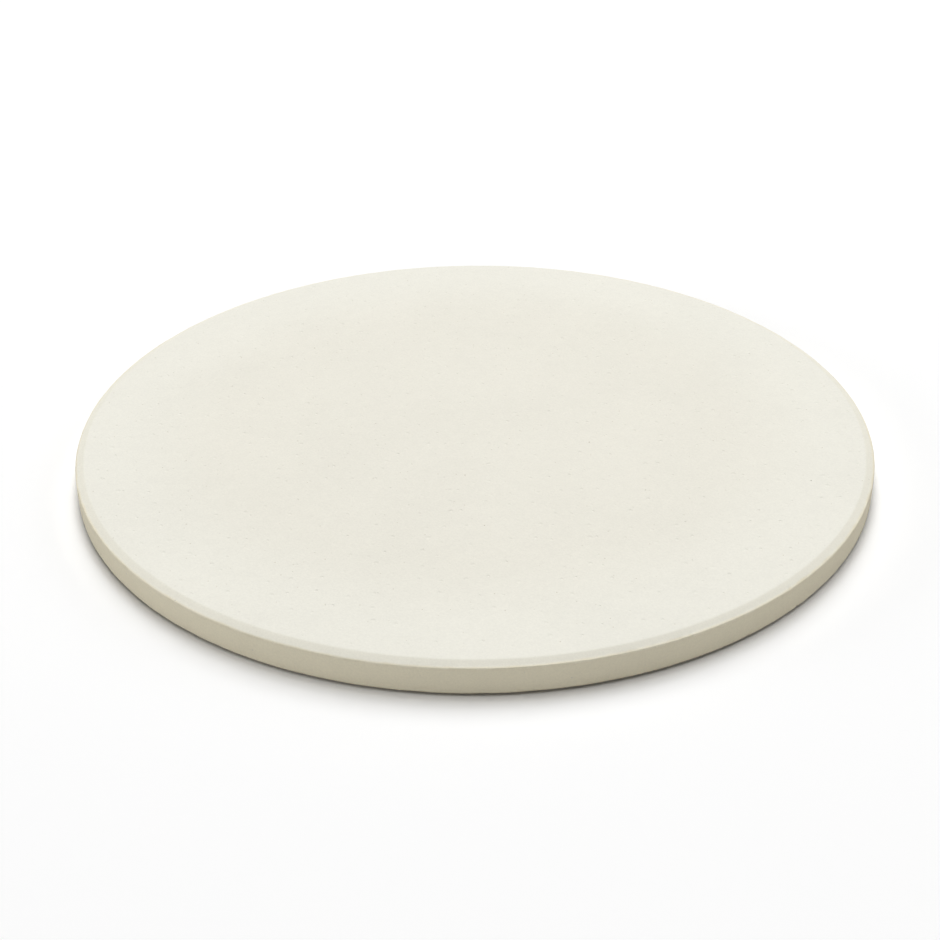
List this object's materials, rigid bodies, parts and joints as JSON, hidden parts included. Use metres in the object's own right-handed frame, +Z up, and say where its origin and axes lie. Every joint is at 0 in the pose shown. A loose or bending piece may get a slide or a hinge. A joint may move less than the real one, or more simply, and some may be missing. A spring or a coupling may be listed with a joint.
{
  "type": "pizza stone",
  "caption": "Flat round baking stone with a bevelled upper rim, a straight side wall and a plain flat underside.",
  "frame": {"origin": "middle of the flat underside, on the surface that the stone stands on", "axes": "+Z up along the stone's axis, out of the baking face; +X and +Y lie in the underside"},
  "size_m": [0.38, 0.38, 0.015],
  "materials": {
    "cordierite": "matte, unglazed, finely speckled ivory"
  },
  "bodies": {
    "root": {"baking_stone": "cordierite"}
  },
  "joints": []
}
